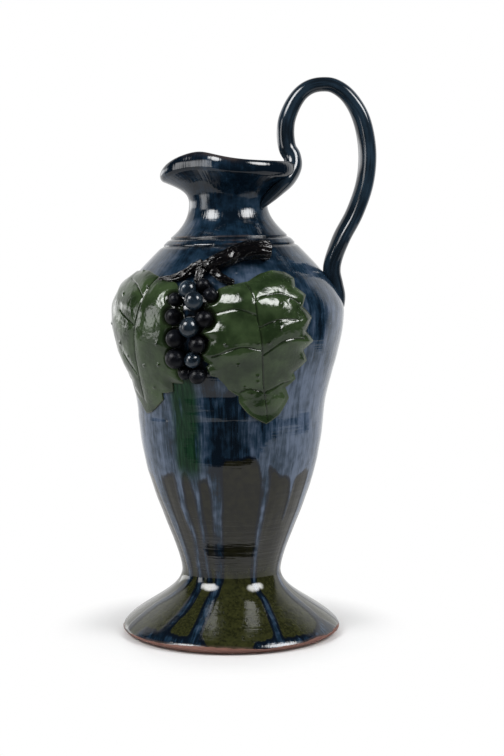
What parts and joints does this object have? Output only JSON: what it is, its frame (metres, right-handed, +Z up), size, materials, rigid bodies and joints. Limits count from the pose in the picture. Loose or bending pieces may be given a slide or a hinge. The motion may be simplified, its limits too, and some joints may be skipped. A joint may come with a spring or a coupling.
{
  "type": "pitcher",
  "caption": "Tall thrown stoneware pitcher on a flared foot, with a pinched spout, a looped handle above the rim and an applied vine branch with leaves and grapes.",
  "frame": {"origin": "centre of the flat base, on the axis of the foot and belly", "axes": "+Z up along the pot's axis, -X towards the spout, +X towards the handle, -Y towards the applied vine"},
  "size_m": [0.1797, 0.164, 0.3795],
  "materials": {
    "foot_glaze": "glossy olive-brown glaze with blue drips, bare terracotta at the base",
    "body_glaze": "glossy runny navy and blue-grey glaze over olive-brown",
    "handle_glaze": "glossy near-black navy glaze",
    "leaf_glaze": "glossy green glaze, brown where it breaks over edges",
    "grape_glaze": "glossy blue-black glaze",
    "bark_glaze": "glossy black-brown glaze over a scored bark texture"
  },
  "bodies": {
    "root": {"pedestal_foot": "foot_glaze", "belly": "body_glaze", "neck": "body_glaze", "handle": "handle_glaze", "vine_branch": "bark_glaze", "left_leaf_stalk": "bark_glaze", "right_leaf_stalk": "bark_glaze", "bunch_stalk": "bark_glaze", "left_leaf": "leaf_glaze", "right_leaf": "leaf_glaze", "grape_01": "grape_glaze", "grape_02": "grape_glaze", "grape_03": "grape_glaze", "grape_04": "grape_glaze", "grape_05": "grape_glaze", "grape_06": "grape_glaze", "grape_07": "grape_glaze", "grape_08": "grape_glaze", "grape_09": "grape_glaze", "grape_10": "grape_glaze", "grape_11": "grape_glaze", "grape_12": "grape_glaze", "grape_13": "grape_glaze", "grape_14": "grape_glaze"}
  },
  "joints": []
}
